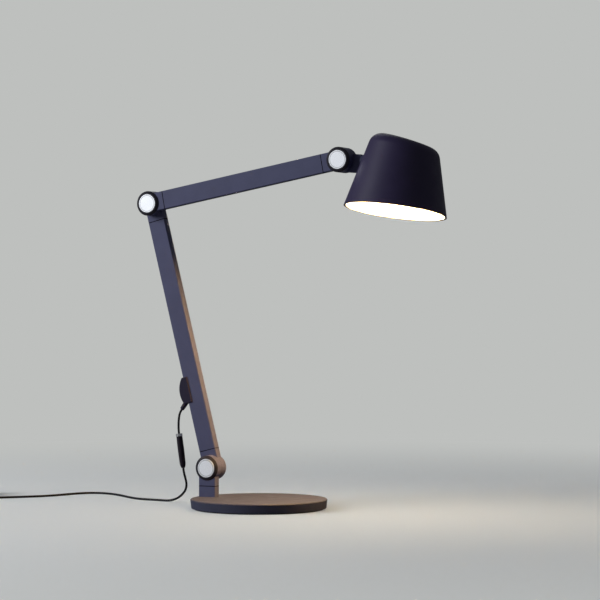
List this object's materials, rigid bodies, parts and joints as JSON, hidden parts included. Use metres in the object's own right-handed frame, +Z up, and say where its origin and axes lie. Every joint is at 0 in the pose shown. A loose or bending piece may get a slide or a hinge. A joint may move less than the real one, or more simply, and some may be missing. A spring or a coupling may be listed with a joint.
{
  "type": "desk lamp",
  "caption": "Desk lamp: two flat friction-jointed arms on a round weighted base carry a tilting, rolling cone shade with an LED light, fed by a cord with an inline switch.",
  "frame": {"origin": "centre of the round base's underside, on the table", "axes": "+Z up; +X from the post towards the lamp head, in the plane of the arms; +Y towards the side without the joint discs"},
  "size_m": [0.8321, 0.2242, 0.5422],
  "materials": {
    "graphite_steel": "satin graphite powder coat on sheet steel",
    "weight_iron": "as cast, black",
    "graphite_aluminium": "satin graphite powder coat on extruded and cast aluminium",
    "shade_aluminium": "satin graphite powder coat on spun aluminium",
    "reflector_white": "matt white paint on spun aluminium",
    "disc_aluminium": "bright turned face, bevelled edge",
    "bare_aluminium": "mill finish",
    "fastener_steel": "zinc plated",
    "black_plastic": "fine moulded texture",
    "gloss_black": "polished moulding",
    "fibre_washer": "friction fibre",
    "foot_rubber": "matt foam rubber",
    "opal_plastic": "opal diffusing",
    "led_phosphor": "phosphor",
    "cord_black": "satin PVC sheath",
    "chrome_trim": "bright chrome"
  },
  "bodies": {
    "stand": {"base_cover": "graphite_steel", "foot_pad": "foot_rubber", "base_weight": "weight_iron", "cover_screws": "fastener_steel", "post_screws": "fastener_steel", "post_tube": "graphite_aluminium", "post_knuckle": "graphite_aluminium", "shoulder_bezel": "graphite_aluminium", "shoulder_disc": "disc_aluminium", "shoulder_friction_washer": "fibre_washer", "cord_hanging": "cord_black", "cord_floor": "cord_black", "cord_coil": "cord_black", "adapter_relief": "black_plastic", "adapter_body": "black_plastic", "adapter_pins": "chrome_trim"},
    "lower_arm": {"lower_arm_tube": "graphite_aluminium", "lower_arm_bottom_knuckle": "graphite_aluminium", "lower_arm_top_knuckle": "graphite_aluminium", "lower_arm_screws": "fastener_steel", "shoulder_bolt": "fastener_steel", "shoulder_nut": "fastener_steel", "shoulder_spring_washers": "fastener_steel", "shoulder_rear_cap": "black_plastic", "elbow_bolt": "fastener_steel", "elbow_nut": "fastener_steel", "elbow_spring_washers": "fastener_steel", "elbow_rear_cap": "black_plastic", "inlet_housing": "black_plastic", "inlet_socket": "black_plastic", "inlet_plug": "black_plastic", "cord_upper": "cord_black", "switch_collar": "chrome_trim", "switch_body": "gloss_black"},
    "switch_button": {"switch_button": "black_plastic"},
    "upper_arm": {"upper_arm_tube": "graphite_aluminium", "upper_arm_back_knuckle": "graphite_aluminium", "upper_arm_front_knuckle": "graphite_aluminium", "upper_arm_screws": "fastener_steel", "elbow_bezel": "graphite_aluminium", "elbow_disc": "disc_aluminium", "elbow_friction_washer": "fibre_washer", "head_bezel": "graphite_aluminium", "head_disc": "disc_aluminium", "head_friction_washer": "fibre_washer"},
    "neck": {"neck": "graphite_aluminium", "swivel_tube": "fastener_steel", "swivel_nut": "fastener_steel", "head_bolt": "fastener_steel", "head_nut": "fastener_steel", "head_spring_washers": "fastener_steel", "head_rear_cap": "black_plastic"},
    "shade": {"shade_shell": "shade_aluminium", "shade_reflector": "reflector_white", "diffuser": "opal_plastic", "led_board": "bare_aluminium", "led_chips": "led_phosphor", "heat_sink": "bare_aluminium", "swivel_seat": "graphite_aluminium", "swivel_bracket": "bare_aluminium"}
  },
  "joints": [
    {"name": "shoulder_hinge", "type": "hinge", "parent": "stand", "child": "lower_arm", "pos_m": [-0.0825, 0.00675, 0.0572], "axis": [0, 1, 0], "range_deg": [-30, 30], "deforming": ["cord_hanging"]},
    {"name": "elbow_hinge", "type": "hinge", "parent": "lower_arm", "child": "upper_arm", "pos_m": [-0.18195, 0.00675, 0.44877], "axis": [0, 1, 0], "range_deg": [-50, 40]},
    {"name": "head_tilt", "type": "hinge", "parent": "upper_arm", "child": "neck", "pos_m": [0.13034, 0.00675, 0.50608], "axis": [0, 1, 0], "range_deg": [-45, 40]},
    {"name": "shade_roll", "type": "hinge", "parent": "neck", "child": "shade", "pos_m": [0.13034, 0.0135, 0.50608], "axis": [0.9963, 0, -0.0854], "range_deg": [-81.6, 98.4]},
    {"name": "button_press", "type": "slide", "parent": "lower_arm", "child": "switch_button", "axis": [0, -1, 0], "range_m": [0, 0.0008], "stiffness_N_per_m": 600, "springref_m": -0.0005}
  ]
}
